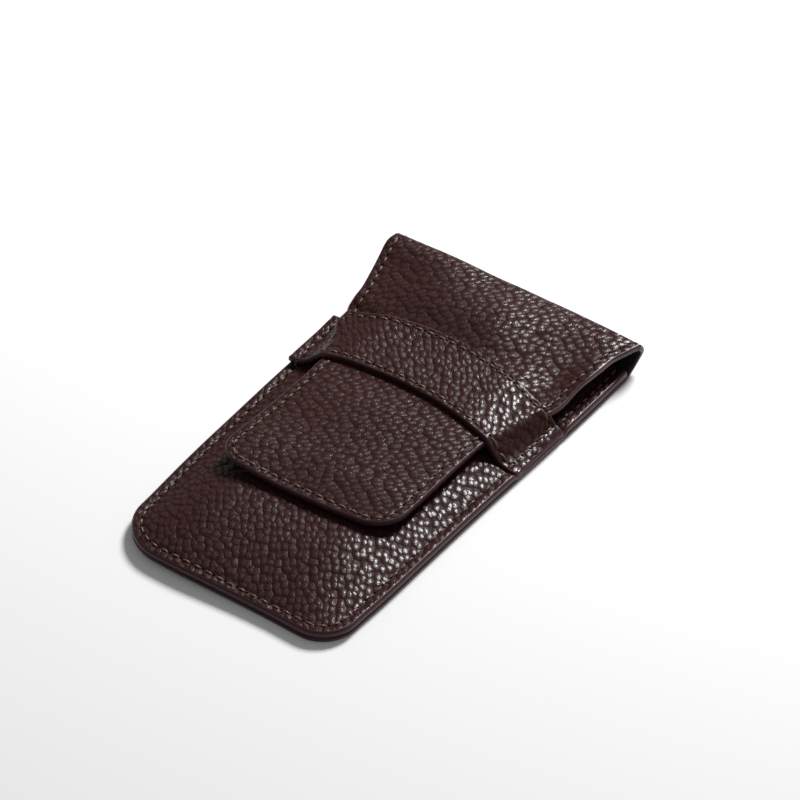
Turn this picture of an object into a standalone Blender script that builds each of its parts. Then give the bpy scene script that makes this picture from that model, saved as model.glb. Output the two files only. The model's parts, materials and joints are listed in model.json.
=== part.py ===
"""Slim watch pouch of lined imitation leather, lying closed on its back.

The outer leather is one long piece. It runs up the back, turns round a fold at the top, comes down
over the front as a flap, and ends in a tongue that tucks under a band across the front. The front
panel is sewn to the back along both sides and the bottom, and leaves the mouth open under the fold.

Metres, +Z up, fold at +Y. The origin is under the middle of the pouch, on the face that it lies on.
"""

import math

import bmesh
import bpy

# Outline of the pouch, seen from above
LENGTH = 0.135
FOLD_WIDTH = 0.075
FOLD_EAR = 0.0013
BODY_TAPER = 0.0022
CORNER_RADIUS = 0.0115
BOTTOM_BOW = 0.0014
BOW_RUN = 0.022
MOUTH_SETBACK = 0.0028

# Sheets that the pouch is cut from, and the air between them
LEATHER = 0.0008
LINING = 0.00035
BAND_BACKING = 0.00025
PLY_GAP = 0.0002
SEAT_GAP = 0.00025
END_GAP = 0.0003

# Pocket between the back and the front panel
POCKET_DEPTH = 0.0042
SEAM_MARGIN = 0.0026
SIDE_RUN = 0.011
BOTTOM_RUN = 0.024
PILLOW_POWER = 1.25

# Fold that joins the back to the flap
FOLD_RISE = 0.0015
LIFT_ANGLE = math.radians(50.0)
LIFT_RADIUS = 0.005
NOSE_INNER_RADIUS = 0.00125
FLAP_SLOPE_RUN = 0.015

# Flap and its tongue
NECK_FROM_NOSE = 0.0287
NECK_INSET = 0.0039
FLARE_POWER = 1.3
TONGUE_INSET = 0.0067
TONGUE_LENGTH = 0.0708
TONGUE_CORNER_RADIUS = 0.008
TAPER_RUN = 0.0165
DROOP_SHARE = 0.45

# Band across the front
BAND_FROM_NECK = 0.0004
BAND_HEIGHT = 0.0224
BAND_END_HEIGHT = 0.0200
BAND_BOW = 0.0056
BAND_SEAM = 0.0004
BAND_OVER_TONGUE = 0.0012

# Grid lines of the sheets, as shares of half a width or of a run
SIDE_LINE_SHARES = (0.0, 0.2, 0.4, 0.54, 0.62, 0.69, 0.76, 0.83, 0.88, 0.93, 1.0)
FLAT_LINE_SHARES = (0.0, 0.5, 1.0)
TONGUE_LINE_SHARES = (0.0, 0.25, 0.5, 0.66, 0.8, 0.91, 1.0)
BAND_LINE_SHARES = (0.0, 0.2, 0.38, 0.52, 0.62, 0.7, 0.77, 0.83, 0.88, 0.92, 0.955, 1.0)
BAND_ROW_SHARES = (-1.0, -0.67, -0.33, 0.0, 0.33, 0.67, 1.0)
CORNER_ROW_SHARES = (0.0, 0.04, 0.14, 0.3, 0.52, 0.78, 1.0)
PILLOW_ROW_SHARES = (0.2, 0.4, 0.6, 0.8, 1.0)
BODY_ROW_SHARES = (0.3, 0.65, 1.0)
FLAP_ROW_SHARES = (0.0, 0.12, 0.26, 0.4, 0.56, 0.7, 0.84, 1.0)
TAPER_ROW_SHARES = (0.0, 0.15, 0.3, 0.5, 0.7, 0.85, 1.0)
LIFT_STEPS = 5
NOSE_STEPS = 13

# Colours, linear, and the finish of each sheet
LEATHER_COLOUR = (0.045, 0.021, 0.021, 1.0)
BAND_COLOUR = (0.048, 0.023, 0.023, 1.0)
LINING_COLOUR = (0.008, 0.008, 0.009, 1.0)
LEATHER_ROUGHNESS = 0.42
LINING_ROUGHNESS = 0.9

# Sizes worked out from the ones above
HALF_LENGTH = LENGTH / 2
MOUTH_WIDTH = FOLD_WIDTH - 2 * FOLD_EAR
BOTTOM_WIDTH = MOUTH_WIDTH - 2 * BODY_TAPER
NECK_WIDTH = MOUTH_WIDTH - 2 * NECK_INSET
TONGUE_WIDTH = NECK_WIDTH - 2 * TONGUE_INSET
PANEL = LEATHER + PLY_GAP + LINING
BAND_PLIES = LEATHER + PLY_GAP + BAND_BACKING
POCKET_RISE = POCKET_DEPTH - SEAT_GAP
FRONT_CROWN = PANEL + POCKET_DEPTH + PANEL
TONGUE_FLOOR = FRONT_CROWN + SEAT_GAP
FOLD_TOP = TONGUE_FLOOR + PANEL + FOLD_RISE
NOSE_RADIUS = NOSE_INNER_RADIUS + PANEL
LIFT_HEIGHT = LIFT_RADIUS * (1 - math.cos(LIFT_ANGLE))
NOSE_HEIGHT = NOSE_RADIUS * (1 + math.cos(LIFT_ANGLE))
RAMP_LENGTH = (FOLD_TOP - LIFT_HEIGHT - NOSE_HEIGHT) / math.sin(LIFT_ANGLE)
LIFT_DEPTH = LIFT_RADIUS * math.sin(LIFT_ANGLE) + RAMP_LENGTH * math.cos(LIFT_ANGLE)
LIFT_Y = HALF_LENGTH - NOSE_RADIUS * (1 - math.sin(LIFT_ANGLE)) - LIFT_DEPTH
FLAP_TOP_Y = HALF_LENGTH - NOSE_RADIUS
MOUTH_Y = LIFT_Y - MOUTH_SETBACK
NECK_Y = HALF_LENGTH - NECK_FROM_NOSE
TIP_Y = NECK_Y - TONGUE_LENGTH
BAND_Y = NECK_Y - BAND_FROM_NECK - BAND_HEIGHT / 2 - BAND_BOW


def limited(share):
    """The share, kept between 0 and 1."""
    return min(max(share, 0.0), 1.0)


def eased(share):
    """A share that starts and ends level."""
    share = limited(share)
    return share * share * (3 - 2 * share)


def mirrored(shares):
    """The shares of one half, repeated on the other side of the middle."""
    return [-share for share in reversed(shares[1:])] + list(shares)


def corner_loss(depth, radius):
    """How much a round corner takes off half a width, at a depth in from the edge."""
    left = max(radius - depth, 0.0)
    return radius - math.sqrt(radius * radius - left * left)


def body_half_width(y):
    """Half the width of the back and front panels."""
    share = (y + HALF_LENGTH) / (MOUTH_Y + HALF_LENGTH)
    half = (BOTTOM_WIDTH + (MOUTH_WIDTH - BOTTOM_WIDTH) * share) / 2
    return half - corner_loss(y + HALF_LENGTH, CORNER_RADIUS)


def flap_half_width(y):
    """Half the width of the flap, which flares from the neck up to the fold."""
    share = limited((y - NECK_Y) / (FLAP_TOP_Y - NECK_Y))
    return (NECK_WIDTH + (FOLD_WIDTH - NECK_WIDTH) * share ** FLARE_POWER) / 2


def tongue_half_width(y):
    """Half the width of the tongue, which narrows below the neck and ends in round corners."""
    share = eased((y - NECK_Y + TAPER_RUN) / TAPER_RUN)
    half = (TONGUE_WIDTH + (NECK_WIDTH - TONGUE_WIDTH) * share) / 2
    return half - corner_loss(y - TIP_Y, TONGUE_CORNER_RADIUS)


def pillow(x, y):
    """How far the front panel has risen, from 0 in the seam to 1 over the middle."""
    side = limited((body_half_width(y) - SEAM_MARGIN - abs(x)) / SIDE_RUN)
    foot = limited((y + HALF_LENGTH - SEAM_MARGIN) / BOTTOM_RUN)
    quarter_turn = math.pi / 2
    return (math.sin(quarter_turn * side) * math.sin(quarter_turn * foot)) ** PILLOW_POWER


def front_inner_height(x, y):
    """Height of the front panel's lining, on the pocket side."""
    return PANEL + SEAT_GAP + POCKET_RISE * pillow(x, y)


def flap_inner_height(x, y):
    """Height of the flap's lining, which follows the front panel's slopes only in part."""
    lift = eased((y - NECK_Y) / FLAP_SLOPE_RUN)
    droop = DROOP_SHARE * POCKET_RISE * (1 - pillow(x, y))
    return TONGUE_FLOOR + FOLD_RISE * lift - droop * (1 - lift)


def band_inner_height(x, y):
    """Height of the band's backing: over the tongue, then down to the side seams."""
    front = front_inner_height(x, y) + PANEL + SEAT_GAP
    over = flap_inner_height(x, y) + PANEL + SEAT_GAP
    edge = tongue_half_width(y) + BAND_OVER_TONGUE
    seam = body_half_width(y) - BAND_SEAM
    return front + (over - front) * (1 - eased((abs(x) - edge) / (seam - edge)))


def sheet(name, rows, columns, place):
    """An open surface whose grid points are set by a rule."""
    shape = bmesh.new()
    bmesh.ops.create_grid(shape, x_segments=len(columns) - 1, y_segments=len(rows) - 1, size=1.0)
    for corner in shape.verts:
        column = columns[round((corner.co.x + 1) / 2 * (len(columns) - 1))]
        row = rows[round((corner.co.y + 1) / 2 * (len(rows) - 1))]
        corner.co = place(column, row)
    mesh = bpy.data.meshes.new(name)
    shape.to_mesh(mesh)
    shape.free()
    return mesh


def ply(name, surface, offset, thickness, material, collection):
    """One sheet of material, at an offset from the surface along its normals."""
    mesh = surface.copy()
    mesh.name = name
    mesh.materials.append(material)
    mesh.shade_smooth()
    piece = bpy.data.objects.new(name, mesh)
    collection.objects.link(piece)
    if offset:
        shift = piece.modifiers.new("offset", "DISPLACE")
        shift.mid_level = 0.0
        shift.strength = offset
    wall = piece.modifiers.new("thickness", "SOLIDIFY")
    wall.thickness = thickness
    wall.offset = 1.0
    wall.use_even_offset = True
    return piece


def outer_first(name, surface, materials, collection):
    """Leather on the surface and its lining on the inner side."""
    leather, lining = materials
    return [
        ply(name + "_leather", surface, 0, LEATHER, leather, collection),
        ply(name + "_lining", surface, LEATHER + PLY_GAP, LINING, lining, collection),
    ]


def lining_first(name, surface, materials, collection):
    """Lining on the surface and the leather over it."""
    leather, lining = materials
    return [
        ply(name + "_lining", surface, 0, LINING, lining, collection),
        ply(name + "_leather", surface, LINING + PLY_GAP, LEATHER, leather, collection),
    ]


def body_place(height):
    """The rule for a sheet with the outline of the pouch's body."""

    def place(column, y):
        fade = 1 - eased((y + HALF_LENGTH) / BOW_RUN)
        x = column * body_half_width(y)
        y_here = y + BOTTOM_BOW * column * column * fade
        return x, y_here, height(x, y)

    return place


def body_rows(top, shares):
    """Rows from the bottom edge up to the top one, close together round the corners."""
    rows = [-HALF_LENGTH + CORNER_RADIUS * share for share in CORNER_ROW_SHARES]
    start = rows[-1]
    return rows + [start + (top - start) * share for share in shares]


def front_rows():
    """Rows of the front panel, with more of them where it rises."""
    rows = [-HALF_LENGTH + CORNER_RADIUS * share for share in CORNER_ROW_SHARES]
    start = rows[-1]
    risen = SEAM_MARGIN + BOTTOM_RUN - HALF_LENGTH
    rows += [start + (risen - start) * share for share in PILLOW_ROW_SHARES]
    return rows + [risen + (MOUTH_Y - risen) * share for share in BODY_ROW_SHARES]


def make_back(materials, collection):
    """Back panel, flat on the table from the bottom edge up to where it lifts."""
    rows = body_rows(LIFT_Y - END_GAP, BODY_ROW_SHARES)
    surface = sheet("back", rows, mirrored(FLAT_LINE_SHARES), body_place(lambda x, y: 0.0))
    return outer_first("back", surface, materials, collection)


def make_front(materials, collection):
    """Front panel, flat in the seams and risen over the pocket."""
    surface = sheet("front", front_rows(), mirrored(SIDE_LINE_SHARES), body_place(front_inner_height))
    return lining_first("front", surface, materials, collection)


def fold_section():
    """Points of the fold's outer side, from the table up round the nose to the flap."""
    points = []
    for step in range(LIFT_STEPS + 1):
        angle = LIFT_ANGLE * step / LIFT_STEPS
        points.append((LIFT_Y + LIFT_RADIUS * math.sin(angle), LIFT_RADIUS * (1 - math.cos(angle))))
    centre_y = HALF_LENGTH - NOSE_RADIUS
    centre_z = FOLD_TOP - NOSE_RADIUS
    for step in range(NOSE_STEPS + 1):
        angle = LIFT_ANGLE + (math.pi - LIFT_ANGLE) * step / NOSE_STEPS
        y = centre_y + NOSE_RADIUS * math.sin(angle)
        points.append((y, centre_z - NOSE_RADIUS * math.cos(angle)))
    return points


def make_fold(materials, collection):
    """Strip that bends round the nose and works as the flap's hinge."""
    section = fold_section()
    start_half = body_half_width(LIFT_Y)

    def place(column, row):
        y, z = section[row]
        share = limited((y - LIFT_Y) / (HALF_LENGTH - LIFT_Y))
        half = start_half + (FOLD_WIDTH / 2 - start_half) * share
        half = max(half, FOLD_WIDTH / 2 if z > FOLD_TOP - NOSE_RADIUS else 0)
        return column * half, y, z

    surface = sheet("fold", range(len(section)), mirrored(FLAT_LINE_SHARES), place)
    return outer_first("fold", surface, materials, collection)


def make_flap(materials, collection):
    """Flap from the fold down to the neck."""
    start = NECK_Y + END_GAP
    end = FLAP_TOP_Y - END_GAP
    rows = [start + (end - start) * share for share in FLAP_ROW_SHARES]

    def place(column, y):
        x = column * flap_half_width(y)
        return x, y, flap_inner_height(x, y)

    surface = sheet("flap", rows, mirrored(TONGUE_LINE_SHARES), place)
    return lining_first("flap", surface, materials, collection)


def make_tongue(materials, collection):
    """Tongue that runs from the neck under the band to its round end."""
    rows = [TIP_Y + TONGUE_CORNER_RADIUS * share for share in CORNER_ROW_SHARES]
    rows += [NECK_Y - TAPER_RUN * (1 - share) for share in TAPER_ROW_SHARES]

    def place(column, y):
        x = column * tongue_half_width(y)
        return x, y, flap_inner_height(x, y)

    surface = sheet("tongue", rows, mirrored(TONGUE_LINE_SHARES), place)
    return lining_first("tongue", surface, materials, collection)


def make_band(materials, collection):
    """Band that is sewn into both side seams and arches over the tongue."""
    leather, lining = materials

    def place(column, row):
        middle = BAND_Y + BAND_BOW * (1 - column * column)
        height = BAND_HEIGHT + (BAND_END_HEIGHT - BAND_HEIGHT) * column * column
        y = middle + row * height / 2
        x = column * body_half_width(y)
        return x, y, band_inner_height(x, y)

    surface = sheet("band", BAND_ROW_SHARES, mirrored(BAND_LINE_SHARES), place)
    over = BAND_BACKING + PLY_GAP
    return [
        ply("band_backing", surface, 0, BAND_BACKING, lining, collection),
        ply("band_leather", surface, over, LEATHER, leather, collection),
    ]


def make_material(name, colour, roughness):
    """Plain material with a colour and a roughness."""
    material = bpy.data.materials.new(name)
    material.use_nodes = True
    shader = material.node_tree.nodes["Principled BSDF"]
    shader.inputs["Base Color"].default_value = colour
    shader.inputs["Roughness"].default_value = roughness
    shader.inputs["Metallic"].default_value = 0.0
    return material


def make_pouch():
    """The whole pouch, in a collection of its own."""
    for thing in list(bpy.data.objects):
        bpy.data.objects.remove(thing, do_unlink=True)
    collection = bpy.data.collections.new("watch_pouch")
    bpy.context.scene.collection.children.link(collection)
    leather = make_material("pouch_leather", LEATHER_COLOUR, LEATHER_ROUGHNESS)
    band_leather = make_material("band_leather", BAND_COLOUR, LEATHER_ROUGHNESS)
    lining = make_material("black_lining", LINING_COLOUR, LINING_ROUGHNESS)
    make_back((leather, lining), collection)
    make_fold((leather, lining), collection)
    make_front((leather, lining), collection)
    make_flap((leather, lining), collection)
    make_tongue((leather, lining), collection)
    make_band((band_leather, lining), collection)


make_pouch()
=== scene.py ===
import json
import math

import bpy
import numpy as np
from mathutils import Matrix, Vector, noise

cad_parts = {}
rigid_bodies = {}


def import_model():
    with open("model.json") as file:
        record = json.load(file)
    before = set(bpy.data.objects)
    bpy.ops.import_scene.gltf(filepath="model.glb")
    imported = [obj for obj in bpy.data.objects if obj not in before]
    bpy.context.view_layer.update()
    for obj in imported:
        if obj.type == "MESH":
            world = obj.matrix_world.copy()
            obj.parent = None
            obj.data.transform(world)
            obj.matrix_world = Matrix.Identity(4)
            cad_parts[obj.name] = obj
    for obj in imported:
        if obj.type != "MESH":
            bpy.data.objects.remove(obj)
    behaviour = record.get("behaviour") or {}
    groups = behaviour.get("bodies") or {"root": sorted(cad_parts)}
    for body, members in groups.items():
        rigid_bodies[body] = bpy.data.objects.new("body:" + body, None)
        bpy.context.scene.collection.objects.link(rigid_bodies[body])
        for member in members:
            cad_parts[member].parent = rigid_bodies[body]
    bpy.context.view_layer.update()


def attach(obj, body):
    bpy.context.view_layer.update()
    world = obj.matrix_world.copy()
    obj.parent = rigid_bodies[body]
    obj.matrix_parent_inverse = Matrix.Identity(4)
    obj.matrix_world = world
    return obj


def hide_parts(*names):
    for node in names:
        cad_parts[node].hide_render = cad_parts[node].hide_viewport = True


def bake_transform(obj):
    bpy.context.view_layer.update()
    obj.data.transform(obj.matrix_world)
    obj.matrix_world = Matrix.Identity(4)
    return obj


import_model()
MM = 0.001


# Studio
# A white paper floor in a white room with soft light. The main lamp stands behind the fold, so
# each edge throws its shadow towards the viewer, who looks down at the front from its right.
CAMERA_AZIMUTH = math.radians(32.977)
CAMERA_ELEVATION = math.radians(38.754)
CAMERA_ROLL = math.radians(1.5)
CAMERA_DISTANCE = 1.234134
CAMERA_SHIFT = (0.006333, 0.012712)
CAMERA_REACH = 10.0
LENS_MM = 225.0
SENSOR_MM = 36.0


def to_linear(hex_colour):
    """A linear colour from an sRGB hex value."""
    channels = [int(hex_colour[i:i + 2], 16) / 255 for i in (1, 3, 5)]
    linear = [c / 12.92 if c <= 0.04045 else ((c + 0.055) / 1.055) ** 2.4 for c in channels]
    return tuple(linear) + (1.0,)


def add_node(material, kind, settings=(), links=()):
    """One node with its settings and links. Each link is (input, source node, output)."""
    node = material.node_tree.nodes.new(kind)
    for key, value in dict(settings).items():
        if isinstance(key, str) and hasattr(node, key):
            setattr(node, key, value)
        else:
            node.inputs[key].default_value = value
    for key, source, output in links:
        material.node_tree.links.new(source.outputs[output], node.inputs[key])
    return node


def new_material(name):
    """A node material that is still empty."""
    material = bpy.data.materials.new(name)
    material.use_nodes = True
    material.node_tree.nodes.clear()
    return material


back = Vector((math.sin(CAMERA_AZIMUTH) * math.cos(CAMERA_ELEVATION),
               -math.cos(CAMERA_AZIMUTH) * math.cos(CAMERA_ELEVATION),
               math.sin(CAMERA_ELEVATION)))
level_right = Vector((math.cos(CAMERA_AZIMUTH), math.sin(CAMERA_AZIMUTH), 0))
level_up = back.cross(level_right)
right = level_right * math.cos(CAMERA_ROLL) + level_up * math.sin(CAMERA_ROLL)
up = level_up * math.cos(CAMERA_ROLL) - level_right * math.sin(CAMERA_ROLL)
place = back * CAMERA_DISTANCE + right * CAMERA_SHIFT[0] + up * CAMERA_SHIFT[1]
bpy.ops.object.camera_add()
camera = bpy.context.object
camera.matrix_world = Matrix.Translation(place) @ Matrix((right, up, back)).transposed().to_4x4()
camera.data.lens = LENS_MM
camera.data.sensor_width = SENSOR_MM
camera.data.clip_end = CAMERA_REACH
bpy.context.scene.camera = camera

KEY_DIRECTION = Vector((-0.03, 0.77, 0.635))
KEY_DISTANCE = 1.0
KEY_SIZE = 0.30
KEY_POWER = 13.5
SKY_STRENGTH = 0.18
WHITE = (1, 1, 1, 1)

bpy.ops.object.light_add(type="AREA", location=KEY_DIRECTION.normalized() * KEY_DISTANCE,
                         rotation=KEY_DIRECTION.to_track_quat("Z", "Y").to_euler())
key = bpy.context.object
key.name = "main_light"
key.data.shape = "DISK"
key.data.size = KEY_SIZE
key.data.energy = KEY_POWER * KEY_DISTANCE ** 2

# The room is white where the camera sees it, and lights the pouch only a little
world = bpy.data.worlds.new("white_room")
bpy.context.scene.world = world
world.use_nodes = True
world.node_tree.nodes.clear()
light_path = add_node(world, "ShaderNodeLightPath")
seen = add_node(world, "ShaderNodeMath", {"operation": "MAXIMUM"},
                [(0, light_path, "Is Camera Ray"), (1, light_path, "Is Transmission Ray")])
level = add_node(world, "ShaderNodeMapRange", {"To Min": SKY_STRENGTH, "To Max": 1.0},
                 [("Value", seen, 0)])
sky = add_node(world, "ShaderNodeBackground", {"Color": WHITE}, [("Strength", level, 0)])
add_node(world, "ShaderNodeOutputWorld", links=[("Surface", sky, 0)])

# The floor: matt white paper, which the camera sees a touch brighter than the lamp lights it
FLOOR_COLOUR = to_linear("#fafafa")
FLOOR_LIFT = 0.05
FLOOR_SIZE = 4.0
FLOOR_Z = -0.05 * MM

bpy.ops.object.select_all(action="DESELECT")
bpy.ops.mesh.primitive_plane_add(size=FLOOR_SIZE, location=(0, 0, FLOOR_Z))
floor = bpy.context.object
floor.name = "floor"
bpy.ops.object.transform_apply(location=True)
paper = new_material("white_paper")
paper_path = add_node(paper, "ShaderNodeLightPath")
paper_seen = add_node(paper, "ShaderNodeMath", {"operation": "MULTIPLY", 1: FLOOR_LIFT},
                      [(0, paper_path, "Is Camera Ray")])
paper_diffuse = add_node(paper, "ShaderNodeBsdfDiffuse", {"Color": FLOOR_COLOUR})
paper_glow = add_node(paper, "ShaderNodeEmission", {"Color": WHITE},
                      [("Strength", paper_seen, 0)])
paper_both = add_node(paper, "ShaderNodeAddShader",
                      links=[(0, paper_diffuse, 0), (1, paper_glow, 0)])
add_node(paper, "ShaderNodeOutputMaterial", links=[("Surface", paper_both, 0)])
floor.data.materials.append(paper)
bpy.context.scene.view_settings.view_transform = "Standard"


# Outer leather
# One long strip of pebble-grained imitation leather with a painted edge: the back panel,
# the fold, the flap and the tongue. It is cut flat and turned once round the fold.
HALF_LENGTH = 67.5
NOMINAL_HALF = 35.0
LEFT_CORNER = 14.0
RIGHT_CORNER = 9.0
# Half widths of the back and front panels to either side of the middle line, as (y, half width)
LEFT_HALF_WIDTHS = ((-67.5, 32.8), (-58, 32.9), (-50, 33.4), (-41, 34.2), (-26, 35.0),
                    (-11, 35.4), (4, 35.8), (34, 36.1), (59.2, 36.5))
RIGHT_HALF_WIDTHS = ((-67.5, 34.0), (-55, 34.2), (-48, 34.5), (-26, 34.8), (-11, 35.0),
                     (4, 35.3), (19, 35.8), (34, 36.1), (59.2, 36.3))
# How far the bottom edge is cut at a slant, as (x, height), and how far up that is felt
FOOT_SKEW = ((-34, 2.0), (-27, 1.6), (-20, 1.15), (-12, 0.75), (-4, 0.75), (5, 0.75),
             (15, 0.5), (25, -0.1), (34, 0.2))
SKEW_REACH = 40
OUTER_THICKNESS = 1.05
RIM_EXTRA = 0.55
EDGE_ROUNDING = 0.48
BACK_END = 59.2
FLAP_START = 64.9
# Outer side of the strip, from the table up round the fold and down over the front, as (y, z)
FOLD_PATH = ((59.2, 0.12), (61.4, 0.35), (63.5, 1.2), (65.3, 2.7), (66.6, 4.6), (67.3, 6.4),
             (67.35, 7.8), (66.8, 8.9), (65.9, 9.8), (64.9, 10.2))
RIGHT_FOLD_PATH = ((59.2, 0.12), (61.4, 0.4), (63.3, 1.1), (64.9, 2.1), (66.1, 3.3),
                   (66.85, 4.4), (67.05, 5.6), (66.8, 7.2), (66.0, 8.9), (64.9, 10.2))
FLAP_PATH = ((64.9, 10.2), (63.0, 10.4), (60.0, 10.4), (55.0, 10.2), (50.0, 9.9), (45.0, 9.5),
             (40.0, 9.0), (35.0, 8.7), (28.0, 8.6), (15.0, 8.5), (0.0, 8.4), (-15.0, 8.3),
             (-25.0, 8.25), (-32.3, 8.2))
# Half widths of the flap and tongue, as (y, half width)
LEFT_FLAP_WIDTHS = ((-32.3, 26.1), (-12.0, 25.9), (14.0, 25.9), (20.0, 26.4), (27.0, 29.3),
                    (30.0, 30.8), (33.0, 31.3), (36.3, 32.9), (38.7, 33.2), (43.2, 33.7),
                    (49.7, 35.25), (56.2, 36.85), (61.8, 37.95), (64.9, 37.8))
RIGHT_FLAP_WIDTHS = ((-32.3, 24.9), (-10.0, 25.2), (10.0, 25.5), (17.0, 25.9), (24.0, 28.2),
                     (29.0, 31.2), (33.0, 32.5), (41.9, 33.1), (46.2, 33.8), (50.6, 34.15),
                     (56.0, 34.4), (60.4, 35.7), (64.9, 36.9))
LEFT_TIP_CORNER = 7.0
RIGHT_TIP_CORNER = 8.5
TIP_Y = -32.3
BACK_REST = 0.12
FLAP_SEAM = 2.3
# Heights that the flap adds to its path, each used in flap_relief
EAR_HEIGHT = 1.1
RIGHT_SAG = ((0, 0), (10, -0.4), (20, -0.7), (27, -0.8), (31, -1.05), (34, -1.35), (37, -1.55))
HOLLOW_DEPTH = 0.5
HELD_DEPTH = 1.5
CURL_HEIGHT = 1.0
FLAP_DOME = 1.25
TONGUE_DOME = 0.6
RIGHT_SLACK = 0.5
VALLEY_DEPTH = 0.8


def ease(share):
    """0 to 1, level at both ends."""
    share = np.clip(share, 0, 1)
    return share * share * (3 - 2 * share)


def ramp(value, start, length):
    """0 up to start, then eased up to 1 over a length."""
    return ease((value - start) / length)


def fade(value, end, length):
    """Eased down over a length to 0, which it reaches at end."""
    return ease((end - value) / length)


def dent(value, middle, width):
    """1 at the middle, and next to nothing from twice the width away."""
    return np.exp(-((value - middle) / width) ** 2)


def curve_at(points, at):
    """The height at a place of a smooth curve through points."""
    px, py = np.array(points, float).T
    slope = np.gradient(py, px)
    i = np.clip(np.searchsorted(px, at, side="right") - 1, 0, len(px) - 2)
    width = px[i + 1] - px[i]
    t = np.clip((at - px[i]) / width, 0, 1)
    rise = (1 + 2 * t) * (1 - t) ** 2 * py[i] + t * t * (3 - 2 * t) * py[i + 1]
    return rise + width * (t * (1 - t) ** 2 * slope[i] - t * t * (1 - t) * slope[i + 1])


def by_side(side, left_value, right_value):
    """The left value where side is negative, otherwise the right one."""
    return np.where(np.asarray(side) < 0, left_value, right_value)


def corner_loss(depth, radius):
    """How much a round corner takes off a half width, at a depth in from the end."""
    left = np.clip(radius - depth, 0, radius)
    return radius - np.sqrt(radius * radius - left * left)


def corner_inset(corner, beyond_side, beyond_end):
    """Distance in from an outline with round corners. The other two say how far a place lies
    beyond the corner's centre, to the side and to the end."""
    outside = np.hypot(np.maximum(beyond_side, 0), np.maximum(beyond_end, 0))
    return corner - outside - np.minimum(np.maximum(beyond_side, beyond_end), 0)


def body_corner(side):
    """Radius of the pocket's bottom corner."""
    return by_side(side, LEFT_CORNER, RIGHT_CORNER)


def tip_corner(side):
    """Radius of the tongue's corner."""
    return by_side(side, LEFT_TIP_CORNER, RIGHT_TIP_CORNER)


def straight_half(side, y):
    """Half the width of the back and front panels at y, without the corners."""
    return by_side(side, curve_at(LEFT_HALF_WIDTHS, y), curve_at(RIGHT_HALF_WIDTHS, y))


def body_half(side, y):
    """Half the width of the back and front panels at y."""
    return straight_half(side, y) - corner_loss(y + HALF_LENGTH, body_corner(side))


def skew(x, y):
    """How far the slightly slanting cut of the bottom edge moves a place up."""
    return curve_at(FOOT_SKEW, x) * (1 - ease((y + HALF_LENGTH) / SKEW_REACH))


def edge_distance(x, y):
    """Distance in from the outline of the pocket, which is open at the top."""
    corner = body_corner(x)
    beyond_side = np.abs(x) - (straight_half(x, y) - corner)
    beyond_foot = skew(x, y) - y - (HALF_LENGTH - corner)
    return corner_inset(corner, beyond_side, beyond_foot)


def lie(x, y):
    """How far the pouch's left bottom corner has lifted off the table."""
    return fade(x, 20, 45) * fade(y, -38, 26)


def tip_skew(x, y):
    """How far both corners of the tongue's end are cut back."""
    return (0.8 * fade(x, -4, 21) + 0.9 * ramp(x, 4, 20)) * fade(y, -6, 21)


def straight_flap_half(side, y):
    """Half the width of the flap and tongue at y, without the corners."""
    return by_side(side, curve_at(LEFT_FLAP_WIDTHS, y), curve_at(RIGHT_FLAP_WIDTHS, y))


def flap_half(side, y):
    """Half the width of the flap and tongue at y."""
    return straight_flap_half(side, y) - corner_loss(y - TIP_Y, tip_corner(side))


def flap_edge_distance(x, y):
    """Distance in from the outline of the flap and tongue."""
    corner = tip_corner(x)
    beyond_side = np.abs(x) - (straight_flap_half(x, y) - corner)
    beyond_tip = TIP_Y + corner + tip_skew(x, y) - y
    return corner_inset(corner, beyond_side, beyond_tip)


def flap_relief(x, y):
    """What the flap adds to the height of its path. At the fold its left end stands up, with a
    hollow lower down on that side, and its right side sags. The band holds both rims of the neck
    down. Between band and fold the flap is full, less so on the right, where a shallow valley
    runs. The tongue is domed, and its left corner curls up. The numbers in ramp and fade are
    places and lengths in millimetres."""
    ear = EAR_HEIGHT * fade(x, -2, 22) * ramp(y, 53, 10)
    sag = curve_at(RIGHT_SAG, x) * ramp(y, 43, 14)
    hollow = -HOLLOW_DEPTH * dent(y, 47, 9) * fade(x, -14, 18)
    rims = ramp(np.abs(x), by_side(x, 19, 17), by_side(x, 12, 11))
    held = -HELD_DEPTH * rims * ramp(y, by_side(x, 12.0, 8.0), 8)
    held = held * (1 - ramp(y, by_side(x, 34, 31), by_side(x, 7, 22)))
    curl = CURL_HEIGHT * fade(x, -4, 21) * fade(y, -6, 21)
    full = FLAP_DOME * np.clip(1 - (x / 35) ** 2, 0, 1) * ramp(y, 34, 16) * fade(y, 64, 11)
    tongue = TONGUE_DOME * np.clip(1 - (x / 26) ** 2, 0, 1) * fade(y, 14, 10) * ramp(y, -31, 12)
    inside_right = 1 - ramp(x, 26, 8)
    slack = RIGHT_SLACK * ramp(x, 0, 24) * ramp(y, 34, 14) * fade(y, 64, 11) * inside_right
    valley = -VALLEY_DEPTH * ramp(x, 4, 12) * inside_right
    valley = valley * ramp(y, 34, 12) * (1 - ramp(y, 48, 12))
    return ear + sag + hollow + held + curl + (full + tongue - slack) + valley


def wander(x, y, seed, size, height):
    """A slow, shallow unevenness, as hand-sewn leather has."""
    flat = [noise.noise((a / size, b / size, seed)) for a, b in zip(np.ravel(x), np.ravel(y))]
    return height * np.array(flat).reshape(np.shape(x))


def lengths_of(ys, zs):
    """Length of a path up to each of its points."""
    return np.concatenate([[0], np.cumsum(np.hypot(np.diff(ys), np.diff(zs)))])


def directions_of(ys, zs):
    """Unit direction of a path at each of its points."""
    run = np.stack([np.gradient(ys), np.gradient(zs)])
    return run / np.hypot(*run)


def along(path, count):
    """Evenly spaced points of a smooth path through (y, z) pairs."""
    ys, zs = np.array(path, float).T
    lengths = lengths_of(ys, zs)
    at = np.linspace(0, lengths[-1], count)
    return curve_at(list(zip(lengths, ys)), at), curve_at(list(zip(lengths, zs)), at)


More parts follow.
